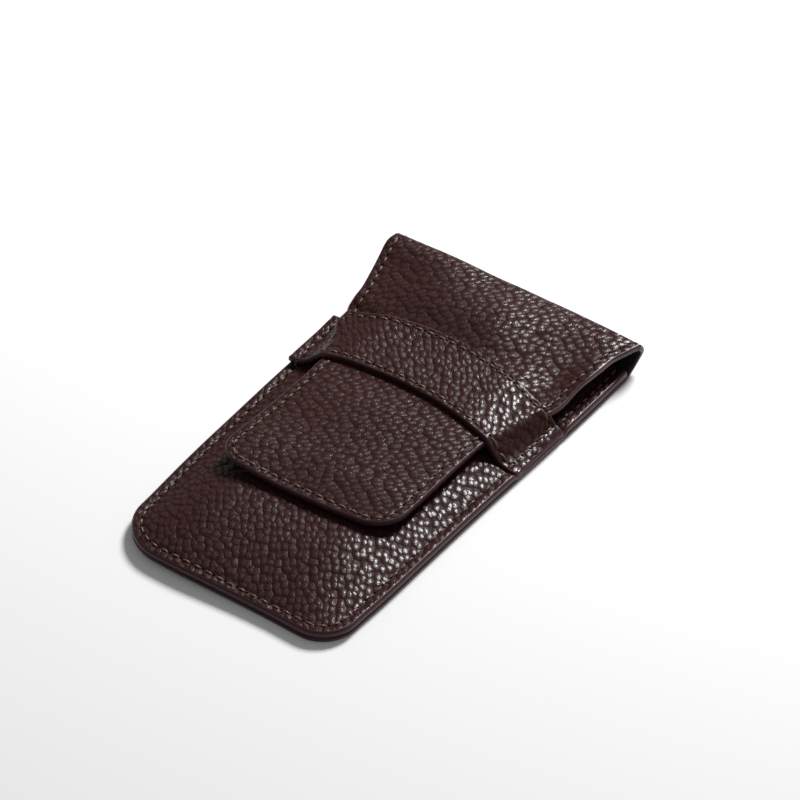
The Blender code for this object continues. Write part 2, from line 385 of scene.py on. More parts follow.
def columns_from(insets, half, step):
    """Shares of a half width: close together at the rim, as the insets say, and even inside."""
    inner = half - insets[-1]
    inside = np.linspace(0, inner, round(inner / step) + 1)[:-1]
    outside = half - np.array(insets[::-1])
    half_shares = np.concatenate([inside, outside]) / half
    return np.concatenate([-half_shares[:0:-1], half_shares])


def use(piece):
    """Makes a piece the only selected one."""
    bpy.ops.object.select_all(action="DESELECT")
    piece.select_set(True)
    bpy.context.view_layer.objects.active = piece


def face_outwards():
    """Turns all faces of the piece in use to its outside."""
    bpy.ops.object.mode_set(mode="EDIT")
    bpy.ops.mesh.select_all(action="SELECT")
    bpy.ops.mesh.normals_make_consistent(inside=False)
    bpy.ops.object.mode_set(mode="OBJECT")


def read(data, field, width=1):
    """A field of mesh elements as an array."""
    values = np.empty(len(data) * width)
    data.foreach_get(field, values)
    return values.reshape(-1, width) if width > 1 else values


def face_means(mesh, corner_values):
    """Each face's mean of values that are given at its corners."""
    starts = read(mesh.polygons, "loop_start").astype(int)
    return np.add.reduceat(corner_values, starts) / read(mesh.polygons, "loop_total")


def grid_sheet(name, columns, rows, surface):
    """A sheet from a flat grid. surface(columns, rows) gives each point's place, its place on the
    pattern, its distance in from the edge, and the way through the leather, in millimetres."""
    bpy.ops.object.select_all(action="DESELECT")
    bpy.ops.mesh.primitive_grid_add(x_subdivisions=len(columns) - 1,
                                    y_subdivisions=len(rows) - 1, size=2)
    sheet = bpy.context.object
    sheet.name = sheet.data.name = name
    mesh = sheet.data
    flat = read(mesh.vertices, "co", 3)
    i = np.rint((flat[:, 0] + 1) / 2 * (len(columns) - 1)).astype(int)
    j = np.rint((flat[:, 1] + 1) / 2 * (len(rows) - 1)).astype(int)
    place, pattern, inset, through = surface(*np.meshgrid(columns, rows))
    mesh.vertices.foreach_set("co", (place[j, i] * MM).ravel())
    corner = read(mesh.loops, "vertex_index").astype(int)
    mesh.uv_layers.active.data.foreach_set("uv", (pattern[j, i][corner] * MM).ravel())
    insets = mesh.attributes.new("inset", "FLOAT", "POINT")
    insets.data.foreach_set("value", inset[j, i])
    ways = mesh.attributes.new("through", "FLOAT_VECTOR", "POINT")
    ways.data.foreach_set("vector", through[j, i].ravel())
    mesh.update()
    return sheet


SMOOTH_ANGLE = math.radians(50)
PAINTED_SHARE = 0.85


def close_sheet(sheet, rounding, outer_material, edge_material):
    """Gives a sheet its second side and round cut edges, which take the second material."""
    use(sheet)
    bpy.ops.object.mode_set(mode="EDIT")
    bpy.ops.mesh.select_all(action="SELECT")
    bpy.ops.mesh.extrude_region_move(TRANSFORM_OT_translate={"value": (0, 0, 0)})
    bpy.ops.object.mode_set(mode="OBJECT")
    mesh = sheet.data
    second = read(mesh.vertices, "select")[:, None]
    inset = read(mesh.attributes["inset"].data, "value")
    through = read(mesh.attributes["through"].data, "vector", 3)
    short = np.clip(rounding - inset, 0, rounding)
    drop = (rounding - np.sqrt(rounding ** 2 - short ** 2))[:, None]
    unit = through / np.linalg.norm(through, axis=1)[:, None]
    co = read(mesh.vertices, "co", 3) / MM + unit * drop + second * (through - 2 * unit * drop)
    mesh.vertices.foreach_set("co", (co * MM).ravel())
    face_outwards()
    bpy.ops.object.shade_smooth_by_angle(angle=SMOOTH_ANGLE)
    mesh.materials.clear()
    mesh.materials.append(outer_material)
    mesh.materials.append(edge_material)
    corner = read(mesh.loops, "vertex_index").astype(int)
    painted = face_means(mesh, inset[corner]) < rounding * PAINTED_SHARE
    mesh.polygons.foreach_set("material_index", painted.astype(int))
    for name in ("inset", "through"):
        mesh.attributes.remove(mesh.attributes[name])


def part_off(sheet, name, length_from, length_to):
    """Separates the faces whose pattern length lies between two values into a new piece."""
    mesh = sheet.data
    middle = face_means(mesh, read(mesh.uv_layers.active.data, "uv", 2)[:, 1])
    chosen = (middle > length_from * MM) & (middle < length_to * MM)
    use(sheet)
    bpy.ops.object.mode_set(mode="EDIT")
    bpy.ops.mesh.select_mode(type="FACE")
    bpy.ops.mesh.select_all(action="DESELECT")
    bpy.ops.object.mode_set(mode="OBJECT")
    mesh.polygons.foreach_set("select", chosen)
    before = set(bpy.data.objects)
    bpy.ops.object.mode_set(mode="EDIT")
    bpy.ops.mesh.separate(type="SELECTED")
    bpy.ops.object.mode_set(mode="OBJECT")
    parted = (set(bpy.data.objects) - before).pop()
    parted.name = parted.data.name = name
    return parted


# The strip's rows, close together at both ends, with the path's place and direction at each.
# The fold's right end lies lower, so its rows also have a pull towards RIGHT_FOLD_PATH.
RIM_INSETS = (0.0, 0.03, 0.09, 0.18, 0.3, 0.48, 0.75, 1.1, 1.5, 1.9, 2.3, 2.7, 3.1, 3.6, 4.3, 5.2)
CORNER_INSETS = (6.2, 7.3, 8.5, 9.8, 11.2, 12.6, 14.0)
FOOT_ROWS = np.array(RIM_INSETS + CORNER_INSETS)
FOLD_POINTS = 34
back_rows = np.concatenate([FOOT_ROWS - HALF_LENGTH,
                            np.linspace(14 - HALF_LENGTH, BACK_END, 100)[1:]])
fold_ys, fold_zs = along(FOLD_PATH, FOLD_POINTS)
right_ys, right_zs = along(RIGHT_FOLD_PATH, FOLD_POINTS)
flap_ys, flap_zs = along(FLAP_PATH, 110)
tip_rows = TIP_Y + FOOT_ROWS[FOOT_ROWS < 8][::-1]
before_tip = flap_ys > tip_rows[0] + 0.4
tip_zs = curve_at(FLAP_PATH[::-1], tip_rows)
path_y = np.concatenate([back_rows, fold_ys[1:], flap_ys[before_tip][1:], tip_rows])
path_z = np.concatenate([0 * back_rows + BACK_REST, fold_zs[1:], flap_zs[before_tip][1:], tip_zs])
path_length = lengths_of(path_y, path_z)
path_run = directions_of(path_y, path_z)
fold_from = len(back_rows) - 1
flap_from = fold_from + len(fold_ys) - 1
pull_y, pull_z = np.zeros((2, len(path_y)))
pull_y[fold_from:flap_from + 1] = right_ys - fold_ys
pull_z[fold_from:flap_from + 1] = right_zs - fold_zs
right_run = directions_of(path_y + pull_y, path_z + pull_z)
BACK_LENGTH = path_length[fold_from]
FLAP_LENGTH = path_length[flap_from]
WAIST_DEPTH = 0.45
WAIST_SHARE = 0.75
STITCH_GROOVE = 0.08


def outer_surface(share, row):
    """Outer side of the leather strip at a share of its half width and a row of its path."""
    row = row.astype(int)
    y, z, length = path_y[row], path_z[row], path_length[row]
    on_back, on_flap = row <= fold_from, row >= flap_from
    turn = np.clip((row - fold_from) / (flap_from - fold_from), 0, 1)
    back_width = body_half(share, np.minimum(y, BACK_END))
    flap_y = np.where(on_flap, y, FLAP_START)
    flap_width = flap_half(share, flap_y)
    waist = by_side(share, 0, WAIST_DEPTH) * np.sin(np.pi * np.clip(turn / WAIST_SHARE, 0, 1))
    fold_width = back_width + (flap_width - back_width) * ease(turn) - waist
    half = np.where(on_flap, flap_width, fold_width)
    x = share * np.where(on_back, back_width, half)
    # The flap's own relief begins a little before half the turn
    relief = flap_relief(x, flap_y) * ease(turn * 1.8 - 0.8)
    uneven = wander(x, length, seed=3.0, size=16, height=0.16) * ease(turn)
    z = z + lie(x, y) * on_back + relief + uneven
    to_right = ramp(x, 12, 22)
    y = y + skew(x, y) * on_back + pull_y[row] * to_right + on_flap * tip_skew(x, y)
    z = z + pull_z[row] * to_right
    side_inset = (1 - np.abs(share)) * half
    inset = np.where(on_back, edge_distance(x, y),
                     np.where(on_flap, flap_edge_distance(x, y), side_inset))
    inset = np.clip(np.where(np.abs(share) == 1, 0, inset), 0, None)
    run_y, run_z = [path_run[k][row] * (1 - to_right) + right_run[k][row] * to_right
                    for k in (0, 1)]
    out_y, out_z = run_z / np.hypot(run_y, run_z), -run_y / np.hypot(run_y, run_z)
    groove = STITCH_GROOVE * dent(inset, FLAP_SEAM, 0.7)
    thickness = OUTER_THICKNESS + RIM_EXTRA * (1 - ease(inset / 3)) * ease(turn)
    through = np.stack([0 * x, -out_y, -out_z], -1) * thickness[..., None]
    place = np.stack([x, y - out_y * groove, z - out_z * groove], -1)
    return place, np.stack([x, length], -1), inset, through


# Pebble-grained imitation leather
# A coloured film on cloth, pressed with a grain of rounded pebbles under 2 mm across, drawn out
# one way, with narrow creases between them. Their tops are rubbed smoother than the rest.
GRAIN_MM = 1.7
GRAIN_STRETCH = 1.45
GRAIN_SLANT = math.radians(33)
GRAIN_RANDOMNESS = 0.7
SWIRL_MM = 2.6
SWIRL_PUSH_MM = 0.9
FINE_MM = 0.42
CLOUD_MM = 24
PEBBLE_HEIGHT_MM = 0.40
PEBBLE_SMOOTHNESS = 0.2
CREASE_DEPTH_MM = 0.004
CREASE_WIDTH = 0.16
GRIT_MM = 0.055
LEATHER_DARK = to_linear("#140707")
LEATHER_LIGHT = to_linear("#432322")
# Tone shares: painted shade in the creases, random clouds, grit specks partly painted highlight
CREASE_SHADE_TONE = 0.25
CLOUD_TONE = 0.35
SPECKLE_AND_HIGHLIGHT_TONE = 2.6
TONE_RANGE = (0.8, 2.4)
TOP_RADII = (0.2, 0.4)
TOP_POLISH = (0.55, 0.04)


def leather_material(name, dark, light):
    """Pebble grain on the piece's own pattern map, which is in metres."""
    leather = new_material(name)
    place = add_node(leather, "ShaderNodeUVMap")
    swirl, fine, cloud = [
        add_node(leather, "ShaderNodeTexNoise",
                 {"noise_dimensions": "2D", "Scale": 1 / (size * MM), "Detail": 2.0},
                 [("Vector", place, 0)])
        for size in (SWIRL_MM, FINE_MM, CLOUD_MM)]

    # The grain's places are pushed about and drawn out, so that no two pebbles are alike
    centred = add_node(leather, "ShaderNodeVectorMath",
                       {"operation": "SUBTRACT", 1: (0.5, 0.5, 0.5)}, [(0, swirl, "Color")])
    pushed = add_node(leather, "ShaderNodeVectorMath",
                      {"operation": "MULTIPLY_ADD", 1: (SWIRL_PUSH_MM * MM,) * 3},
                      [(0, centred, 0), (2, place, 0)])
    drawn = add_node(leather, "ShaderNodeMapping",
                     {"vector_type": "TEXTURE", "Rotation": (0, 0, GRAIN_SLANT),
                      "Scale": (1, GRAIN_STRETCH, 1)}, [("Vector", pushed, 0)])
    borders, domes, tops = [
        add_node(leather, "ShaderNodeTexVoronoi",
                 {"voronoi_dimensions": "2D", "feature": feature,
                  "Scale": 1 / (GRAIN_MM * MM), "Randomness": GRAIN_RANDOMNESS},
                 [("Vector", drawn, 0)])
        for feature in ("DISTANCE_TO_EDGE", "SMOOTH_F1", "F1")]
    domes.inputs["Smoothness"].default_value = PEBBLE_SMOOTHNESS

    # Height: rounded pebbles, creases between them and fine grit, which break up the light
    crease = add_node(leather, "ShaderNodeMapRange",
                      {"interpolation_type": "SMOOTHSTEP", "From Min": 0.0,
                       "From Max": CREASE_WIDTH}, [("Value", borders, "Distance")])
    squared = add_node(leather, "ShaderNodeMath", {"operation": "MULTIPLY"},
                       [(0, domes, "Distance"), (1, domes, "Distance")])
    pebble = add_node(leather, "ShaderNodeMath",
                      {"operation": "MULTIPLY", 1: -PEBBLE_HEIGHT_MM * MM}, [(0, squared, 0)])
    creased = add_node(leather, "ShaderNodeMath",
                       {"operation": "MULTIPLY_ADD", 1: CREASE_DEPTH_MM * MM},
                       [(0, crease, 0), (2, pebble, 0)])
    height = add_node(leather, "ShaderNodeMath",
                      {"operation": "MULTIPLY_ADD", 1: GRIT_MM * MM},
                      [(0, fine, 0), (2, creased, 0)])
    bump = add_node(leather, "ShaderNodeBump", {"Strength": 1.0, "Distance": 1.0},
                    [("Height", height, 0)])

    # Colour: a dark reddish brown, made darker in the creases by painted shade, with lighter
    # specks
    # Painted shade: the pebbles' insides are lighter than the creases between them
    painted_crease_shade = add_node(leather, "ShaderNodeMath", {"operation": "MULTIPLY", 1: CREASE_SHADE_TONE},
                        [(0, crease, 0)])
    cloud_and_crease_shade = add_node(leather, "ShaderNodeMath", {"operation": "MULTIPLY_ADD", 1: CLOUD_TONE},
                    [(0, cloud, 0), (2, painted_crease_shade, 0)])
    # The specks follow the raised grit: partly the leather's random tone, partly painted
    # highlight
    tone_and_painted_light = add_node(leather, "ShaderNodeMath",
                        {"operation": "MULTIPLY_ADD", 1: SPECKLE_AND_HIGHLIGHT_TONE},
                        [(0, fine, 0), (2, cloud_and_crease_shade, 0)])
    shade = add_node(leather, "ShaderNodeMapRange",
                     {"From Min": TONE_RANGE[0], "From Max": TONE_RANGE[1]},
                     [("Value", tone_and_painted_light, 0)])
    colour = add_node(leather, "ShaderNodeMix", {"data_type": "RGBA", 6: dark, 7: light},
                      [(0, shade, 0)])

    # Polish: only the pebbles' tops shine, so the lamp shows as separate small spots
    polish = add_node(leather, "ShaderNodeMapRange",
                      {"interpolation_type": "SMOOTHSTEP",
                       "From Min": TOP_RADII[0], "From Max": TOP_RADII[1],
                       "To Min": TOP_POLISH[0], "To Max": TOP_POLISH[1]},
                      [("Value", tops, "Distance")])
    shader = add_node(leather, "ShaderNodeBsdfPrincipled",
                      {"IOR": 1.5, "Roughness": 0.5, "Specular IOR Level": 0.05,
                       "Coat Roughness": 0.24, "Coat IOR": 1.5},
                      [("Base Color", colour, 2), ("Coat Weight", polish, 0),
                       ("Normal", bump, 0), ("Coat Normal", bump, 0)])
    add_node(leather, "ShaderNodeOutputMaterial", links=[("Surface", shader, 0)])
    return leather


leather = leather_material("pebble_grained_imitation_leather", LEATHER_DARK, LEATHER_LIGHT)

# Painted edge
# The cut edges are coloured with a thick purplish-brown edge paint, rolled on in two coats.
# It dries as a smooth, slightly uneven bead, which gives the outline a thin, broken glint.
EDGE_COLOUR = to_linear("#43262b")
EDGE_UNEVEN_MM = 1.6
EDGE_RELIEF_MM = 0.1

edge_paint = new_material("rolled_edge_paint")
edge_place = add_node(edge_paint, "ShaderNodeTexCoord")
edge_uneven = add_node(edge_paint, "ShaderNodeTexNoise",
                       {"Scale": 1 / (EDGE_UNEVEN_MM * MM), "Detail": 2.0},
                       [("Vector", edge_place, "Object")])
edge_bump = add_node(edge_paint, "ShaderNodeBump",
                     {"Strength": 0.5, "Distance": EDGE_RELIEF_MM * MM},
                     [("Height", edge_uneven, 0)])
edge_shader = add_node(edge_paint, "ShaderNodeBsdfPrincipled",
                       {"Base Color": EDGE_COLOUR, "Roughness": 0.35, "IOR": 1.5,
                        "Specular IOR Level": 0.3}, [("Normal", edge_bump, 0)])
add_node(edge_paint, "ShaderNodeOutputMaterial", links=[("Surface", edge_shader, 0)])

strip_columns = columns_from(RIM_INSETS, half=NOMINAL_HALF, step=1.1)
strip_rows = np.arange(len(path_y))
flap_piece = grid_sheet("flap_and_tongue", strip_columns, strip_rows, outer_surface)
close_sheet(flap_piece, EDGE_ROUNDING, leather, edge_paint)
back_piece = part_off(flap_piece, "back_panel", -1, BACK_LENGTH)
fold_piece = part_off(flap_piece, "fold_strip", BACK_LENGTH, FLAP_LENGTH)
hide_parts("back_leather")
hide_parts("fold_leather")
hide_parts("flap_leather", "tongue_leather")
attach(back_piece, "pouch")
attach(flap_piece, "flap")
# Two points on the fold's middle line, at its foot and near its top, in metres. The fold stays
# where it is.
FOLD_Y = 0.0655
FOLD_BLEND = ((0, FOLD_Y, 1.6 * MM), (0, FOLD_Y, 6.8 * MM))
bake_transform(fold_piece)


# Lining
# A thin black woven cloth is glued to the inner side of the strip and stops just short of the
# painted edge. It is dull, so the gap at the open right end looks nearly black.
LINING_THICKNESS = 0.3
LINING_INSET = 0.5
LINING_COLOUR = to_linear("#15151a")
WEAVE_MM = 0.7
WEAVE_RELIEF_MM = 0.08
GLUE_GAP = 0.02
CLOTH_ROUNDING = 0.0001


def wave_scale(size_mm):
    """Scale of a wave texture with waves of a given length. It turns 20 radians per unit."""
    return 2 * math.pi / 20 / (size_mm * MM)


cloth = new_material("black_lining_cloth")
cloth_place = add_node(cloth, "ShaderNodeUVMap")
weft, warp = [
    add_node(cloth, "ShaderNodeTexWave",
             {"wave_type": "BANDS", "bands_direction": way,
              "Scale": wave_scale(WEAVE_MM)}, [("Vector", cloth_place, 0)])
    for way in ("X", "Y")]
weave = add_node(cloth, "ShaderNodeMath", {"operation": "ADD"}, [(0, weft, 1), (1, warp, 1)])
cloth_bump = add_node(cloth, "ShaderNodeBump",
                      {"Strength": 0.6, "Distance": WEAVE_RELIEF_MM * MM},
                      [("Height", weave, 0)])
cloth_shader = add_node(cloth, "ShaderNodeBsdfPrincipled",
                        {"Base Color": LINING_COLOUR, "Roughness": 0.85, "Sheen Weight": 0.05},
                        [("Normal", cloth_bump, 0)])
add_node(cloth, "ShaderNodeOutputMaterial", links=[("Surface", cloth_shader, 0)])


def lined(surface, behind):
    """The surface of the cloth behind a piece of leather, a little inside its edge."""
    def cloth_surface(share, row):
        place, pattern, inset, through = surface(share * (1 - LINING_INSET / NOMINAL_HALF), row)
        unit = through / np.linalg.norm(through, axis=-1)[..., None]
        return place + unit * behind, pattern, inset, unit * LINING_THICKNESS
    return cloth_surface


inside_foot = path_length > LINING_INSET
inside_tip = (path_y > TIP_Y + LINING_INSET) | (strip_rows < fold_from)
cloth_rows = strip_rows[inside_foot & inside_tip]
cloth_columns = columns_from((0.0, 1.0, 2.0, 3.0, 4.2, 5.5), half=NOMINAL_HALF, step=1.6)
flap_lining = grid_sheet("flap_cloth", cloth_columns, cloth_rows,
                         lined(outer_surface, OUTER_THICKNESS + GLUE_GAP))
close_sheet(flap_lining, CLOTH_ROUNDING, cloth, cloth)
back_lining = part_off(flap_lining, "back_cloth", -1, BACK_LENGTH)
fold_lining = part_off(flap_lining, "fold_cloth", BACK_LENGTH, FLAP_LENGTH)
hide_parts("back_lining")
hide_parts("fold_lining")
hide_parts("flap_lining", "tongue_lining")
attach(back_lining, "pouch")
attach(flap_lining, "flap")
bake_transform(fold_lining)


# Front panel
# The front of the pocket, of the same leather, sewn to the back along its sides and bottom.
# It is a little full, so it rises from the seam to a low crown over the pocket.
FRONT_UNDER = 1.5
FRONT_RIM = 3.0
FRONT_CROWN = 6.1
FRONT_THICKNESS = 1.2
FRONT_END = 59.6
SIDE_SLOPE = 17
FOOT_SLOPE = 27
SEAM_INSET = 2.7
SEAM_FURROW = 0.14
RIM_ROUNDING = 0.9
MOUTH_ROUNDING = 0.45
PRESS_FADE = 2.4
PATTERN_SHIFT = 90


def band_press(x, y):
    """1 where the band's sewn ends lie on the rim, 0 elsewhere."""
    low, high = by_side(x, 16.3, 9.9), by_side(x, 32.0, 30.0)
    return ease((y - low + 1.6) / PRESS_FADE) * (1 - ease((y - high - 0.2) / PRESS_FADE))


def rounded_off(inset, radius):
    """How much a round edge takes off the height at an inset."""
    return radius * (1 - np.sqrt(1 - np.clip(1 - inset / radius, 0, 1) ** 2))


def front_top(x, y):
    """Height of the front panel's grained side."""
    inset = np.clip(edge_distance(x, y), 0, None)
    rim = FRONT_RIM + 0.1 * ramp(x, 0, 30) - 0.5 * fade(x, -5, 25)
    # Under the band's ends the rim stands higher on the left and is pressed down on the right
    rim = rim + by_side(x, 0.9, -0.95) * band_press(x, y)
    quarter = np.pi / 2
    side = np.clip((straight_half(x, y) - SEAM_INSET - np.abs(x)) / SIDE_SLOPE, 0, 1)
    foot = np.clip((y + HALF_LENGTH - SEAM_INSET) / FOOT_SLOPE, 0, 1)
    rise = (np.sin(quarter * side) * np.sin(quarter * foot)) ** 1.12
    z = rim + (FRONT_CROWN - rim) * rise
    z = z - rounded_off(inset, RIM_ROUNDING)
    z = z - SEAM_FURROW * dent(inset, SEAM_INSET, 0.8)
    mouth_corners = 0.5 * ramp(y, 54, 5) * ramp(np.abs(x), 25, 8)
    return z - rounded_off(FRONT_END - y, MOUTH_ROUNDING) + mouth_corners + lie(x, y)


def under_front(x, y):
    """Height of the front panel's inner side."""
    seam = ramp(edge_distance(x, y), 1.5, 3.0)
    flat = FRONT_UNDER + lie(x, y)
    return flat + (np.maximum(front_top(x, y) - FRONT_THICKNESS, flat) - flat) * seam


def front_surface(share, y):
    """Grained side of the front panel."""
    x = share * body_half(share, y)
    y = y + skew(x, y)
    inset = np.clip(np.where(np.abs(share) == 1, 0, edge_distance(x, y)), 0, None)
    z = front_top(x, y) + wander(x, y, seed=8.0, size=15, height=0.15) * ramp(inset, 3, 8)
    under = np.minimum(under_front(x, y), z - 0.5)
    place = np.stack([x, y, z], -1)
    through = np.stack([0 * x, 0 * x, under - z], -1)
    return place, np.stack([x + PATTERN_SHIFT, y], -1), np.minimum(inset, FRONT_END - y), through


FRONT_INSETS = (0.0, 0.04, 0.12, 0.25, 0.42, 0.65, 0.9, 1.25, 1.6, 1.95, 2.3, 2.7, 3.1, 3.5, 4.2,
                5.2)
front_foot = np.array(FRONT_INSETS + CORNER_INSETS) - HALF_LENGTH
front_mouth = FRONT_END - np.array((0.45, 0.3, 0.18, 0.09, 0.03, 0.0))
front_rows = np.concatenate([front_foot, np.linspace(front_foot[-1], front_mouth[0], 105)[1:],
                             front_mouth[1:]])
front_columns = columns_from(FRONT_INSETS, half=NOMINAL_HALF, step=1.0)
front = grid_sheet("front_panel", front_columns, front_rows, front_surface)
close_sheet(front, 0.2, leather, edge_paint)
face_x, face_y = (read(front.data.polygons, "center", 3) / MM)[:, :2].T
painted_faces = edge_distance(face_x, face_y) < RIM_ROUNDING - 0.15
painted_faces |= face_y > FRONT_END - MOUTH_ROUNDING * 0.8
front.data.polygons.foreach_set("material_index", painted_faces.astype(int))
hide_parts("front_leather")
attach(front, "pouch")


# Front lining
# The same black cloth behind the front panel, from the mouth down to the seam. It is glued to
# the leather and sewn in with it.
FRONT_CLOTH_INSET = 1.3


def front_cloth_surface(share, y):
    """Upper side of the cloth behind the front panel."""
    x = share * (body_half(share, y) - FRONT_CLOTH_INSET)
    y = y + skew(x, y)
    z = under_front(x, y) - 0.03
    under = np.maximum(z - LINING_THICKNESS, FRONT_UNDER - 0.06 + lie(x, y))
    through = np.stack([0 * x, 0 * x, np.minimum(under - z, -0.02)], -1)
    return np.stack([x, y, z], -1), np.stack([x + PATTERN_SHIFT, y], -1), 0 * x + 1, through


front_cloth_rows = np.concatenate([front_foot[7:],
                                   np.linspace(front_foot[-1], FRONT_END - 0.8, 60)[1:]])
front_cloth = grid_sheet("front_cloth", cloth_columns, front_cloth_rows, front_cloth_surface)
close_sheet(front_cloth, CLOTH_ROUNDING, cloth, cloth)
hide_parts("front_lining")
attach(front_cloth, "pouch")


# Band
# A strip of the same leather with a backing. Its ends are sewn into the side seams, and it
# arches over the flap's neck, so that the tongue can be pushed through under it.
BAND_THICKNESS = 0.95
BAND_RIM_EXTRA = 0.55
BAND_CORNER = 1.5
SMALL_CORNER = 0.3
BAND_LIFT = 0.1
BAND_DIP = 0.4
BAND_HALF = 36
BAND_ROUNDING = 0.42
BAND_GROOVE = 0.1
BAND_PATTERN_SHIFT = 200
# The band's two edges, as (share of the half width, y)
BAND_LOWER = ((-1, 14.0), (-0.8, 14.9), (-0.5, 16.3), (-0.1, 16.7), (0.26, 15.2), (0.57, 12.3),
              (0.85, 9.9), (1, 9.7))
BAND_UPPER = ((-1, 34.4), (-0.83, 35.0), (-0.45, 37.7), (0, 38.2), (0.26, 36.9), (0.5, 34.7),
              (0.7, 32.4), (0.85, 31.1), (1, 30.3))


def band_end(x, y):
    """Where the band's slope to its sewn ends begins and stops, and its height on the ends."""
    climb = np.clip((y - 10.5) / 20.5, 0, 1)
    half = straight_half(x, y)
    beside_flap = flap_half(x, y) - 0.4 + 0.6 * ramp(y, 22, 8)
    start = by_side(x, np.minimum(beside_flap, half - 4.7), 24.0 + 5.9 * climb)
    stop = half - by_side(x, 2.9, 3.2 - 1.3 * climb)
    height = by_side(x, 4.6 + 0.4 * ramp(y, 26, 8), 3.7 + 0.45 * climb)
    fall = by_side(x, 0, 0.3 + 0.25 * climb)
    return start, stop, height - fall * np.maximum(np.abs(x) - stop, 0)


def band_top(x, y):
    """Height of the band's grained side: over the tongue, then down to the seam."""
    start, stop, end_height = band_end(x, y)
    over_x = np.sign(x) * np.minimum(np.abs(x), start)
    under = curve_at(FLAP_PATH[::-1], y) + flap_relief(over_x, y)
    over = under + BAND_LIFT + LINING_THICKNESS + BAND_THICKNESS
    over = over - BAND_DIP * ramp(x, 18, 10) * ramp(y, 20, 10)
    t = np.clip((np.abs(x) - start) / (stop - start), 0, 1)
    eased = by_side(x, 0.85, 1.0)
    slope = (1 - eased) * t + eased * ease(t)
    furrow = 0.12 * dent(straight_half(x, y) - np.abs(x), 2.5, 0.7)
    return over + (end_height - over) * slope - furrow * ramp(t, 0.6, 0.4)


def band_surface(share, row):
    """Grained side of the band. row runs from -1 at its lower edge to 1 at its upper one."""
    end_inset = (1 - np.abs(share)) * BAND_HALF
    lower_corner = by_side(share, SMALL_CORNER, BAND_CORNER)
    low = curve_at(BAND_LOWER, share) + corner_loss(end_inset, lower_corner)
    high = curve_at(BAND_UPPER, share) - corner_loss(end_inset, SMALL_CORNER)
    y = low + (high - low) * (row + 1) / 2
    x = share * (straight_half(share, y) - by_side(share, 0.2, 0.05))
    edge_inset = (1 - np.abs(row)) * (high - low) / 2
    uneven = wander(x, y, seed=21.0, size=9, height=0.12) * ease(end_inset / 8)
    z = band_top(x, y) + uneven - BAND_GROOVE * dent(edge_inset, 1.7, 0.5)
    place = np.stack([x, y, z], -1)
    normal = np.cross(np.gradient(place, axis=1), np.gradient(place, axis=0))
    # Towards its ends the way through the leather stops leaning sideways, which would make
    # spikes at the corners
    normal[..., 0] *= ease(end_inset / 2)
    normal /= np.linalg.norm(normal, axis=-1)[..., None]
    thickness = BAND_THICKNESS + BAND_RIM_EXTRA * (1 - ease(edge_inset / 2.5))
    inset = np.minimum(end_inset, edge_inset)
    # The pattern follows the arch, so that the grain isn't stretched on its slopes
    steps = np.linalg.norm(np.diff(place, axis=1), axis=-1)
    across = np.pad(np.cumsum(steps, axis=1), ((0, 0), (1, 0)))
    pattern = np.stack([across, y + BAND_PATTERN_SHIFT], -1)
    return place, pattern, inset, -normal * thickness[..., None]


BAND_INSETS = (0.0, 0.04, 0.12, 0.25, 0.45, 0.8, 1.15, 1.5, 1.85, 2.2, 2.5, 2.8, 3.1, 3.4, 3.7,
               4.0, 4.3, 4.7, 5.1, 5.6, 6.1, 6.7, 7.4, 8.2, 9.0)
BAND_EDGE = (0.0, 0.004, 0.012, 0.024, 0.042, 0.075, 0.11, 0.145, 0.18, 0.22)
band_columns = columns_from(BAND_INSETS, half=35.5, step=0.9)
band_edge = 1 - np.array(BAND_EDGE)
band_rows = np.concatenate([-band_edge, np.linspace(-0.78, 0.78, 27)[1:-1], band_edge[::-1]])
band = grid_sheet("band", band_columns, band_rows, band_surface)
close_sheet(band, BAND_ROUNDING, leather, edge_paint)
backing_columns = band_columns[np.abs(band_columns) < 0.985]
backing_rows = band_rows[np.abs(band_rows) < 0.95]
band_cloth = grid_sheet("band_backing_strip", backing_columns, backing_rows,
                        lined(band_surface, BAND_THICKNESS + GLUE_GAP))
close_sheet(band_cloth, CLOTH_ROUNDING, cloth, cloth)
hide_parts("band_leather")
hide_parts("band_backing")
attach(band, "pouch")
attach(band_cloth, "pouch")


# Stitches
# Twisted polyester thread, sewn by machine in a lock stitch of about 3.3 mm. Each stitch lies on
# the leather and dives at both ends into a needle hole that it shares with the next one.
STITCH_PITCH = 3.3
STITCH_LENGTH = 2.5
THREAD_WIDTH = 0.7
THREAD_LIFT = 0.06
THREAD_DIVE = 0.25
THREAD_DARK = to_linear("#3a281c")
THREAD_LIGHT = to_linear("#664e36")
THREAD_TONE_MM = 6
TWIST_MM = 0.45
TWIST_RELIEF_MM = 0.08
# The needle holes' dark insides are painted shade, as flat dark patches of this size and colour
HOLE_WIDTH = 0.65
HOLE_HALF_LENGTH = 0.42
HOLE_HEIGHT = 0.1
HOLE_SHADE_DARK = to_linear("#0c0607")
HOLE_SHADE_LIGHT = to_linear("#170d0d")
HOLE_SHADE_TONE_MM = 0.8
FOLD_HALF = 37

